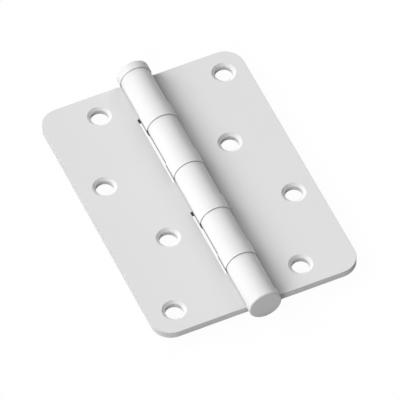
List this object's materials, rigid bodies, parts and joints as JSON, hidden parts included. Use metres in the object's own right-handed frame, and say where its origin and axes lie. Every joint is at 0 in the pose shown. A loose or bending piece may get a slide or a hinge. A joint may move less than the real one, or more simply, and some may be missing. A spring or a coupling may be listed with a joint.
{
  "type": "ball bearing hinge",
  "caption": "Five-knuckle butt hinge with rounded leaves, a headed pin, and concealed thrust ball bearings between its knuckles, lying open.",
  "frame": {"origin": "middle of the pin's axis, which is also the centre of the part", "axes": "+Y along the pin towards its head, +X across the leaf with two knuckles, +Z out of the leaves' front faces"},
  "size_m": [0.089, 0.1323, 0.014],
  "materials": {
    "painted_steel": "smooth satin pale grey coat over steel sheet and turned steel",
    "race_steel": "hardened, turned and ground",
    "cage_nylon": "moulded natural nylon",
    "ball_steel": "polished bearing steel"
  },
  "bodies": {
    "left_leaf": {"left_leaf": "painted_steel", "hinge_pin": "painted_steel", "bottom_plug": "painted_steel", "bearing_1_cover": "painted_steel", "bearing_1_upper_race": "race_steel", "bearing_2_lower_race": "race_steel", "bearing_3_cover": "painted_steel", "bearing_3_upper_race": "race_steel", "bearing_4_lower_race": "race_steel"},
    "right_leaf": {"right_leaf": "painted_steel", "bearing_1_lower_race": "race_steel", "bearing_2_cover": "painted_steel", "bearing_2_upper_race": "race_steel", "bearing_3_lower_race": "race_steel", "bearing_4_cover": "painted_steel", "bearing_4_upper_race": "race_steel"},
    "ball_ring_1": {"bearing_1_cage": "cage_nylon", "bearing_1_balls": "ball_steel"},
    "ball_ring_2": {"bearing_2_cage": "cage_nylon", "bearing_2_balls": "ball_steel"},
    "ball_ring_3": {"bearing_3_cage": "cage_nylon", "bearing_3_balls": "ball_steel"},
    "ball_ring_4": {"bearing_4_cage": "cage_nylon", "bearing_4_balls": "ball_steel"}
  },
  "joints": [
    {"name": "leaf_hinge", "type": "hinge", "parent": "left_leaf", "child": "right_leaf", "pos_m": [0, 0, 0], "axis": [0, -1, 0], "range_deg": [-110, 180]},
    {"name": "ball_ring_1_turn", "type": "hinge", "parent": "left_leaf", "child": "ball_ring_1", "pos_m": [0, 0, 0], "axis": [0, -1, 0], "range_deg": [-55, 90]},
    {"name": "ball_ring_2_turn", "type": "hinge", "parent": "left_leaf", "child": "ball_ring_2", "pos_m": [0, 0, 0], "axis": [0, -1, 0], "range_deg": [-55, 90]},
    {"name": "ball_ring_3_turn", "type": "hinge", "parent": "left_leaf", "child": "ball_ring_3", "pos_m": [0, 0, 0], "axis": [0, -1, 0], "range_deg": [-55, 90]},
    {"name": "ball_ring_4_turn", "type": "hinge", "parent": "left_leaf", "child": "ball_ring_4", "pos_m": [0, 0, 0], "axis": [0, -1, 0], "range_deg": [-55, 90]}
  ],
  "couplings": [
    {"joint": "ball_ring_1_turn", "follows": "leaf_hinge", "ratio": 0.5},
    {"joint": "ball_ring_2_turn", "follows": "leaf_hinge", "ratio": 0.5},
    {"joint": "ball_ring_3_turn", "follows": "leaf_hinge", "ratio": 0.5},
    {"joint": "ball_ring_4_turn", "follows": "leaf_hinge", "ratio": 0.5}
  ]
}
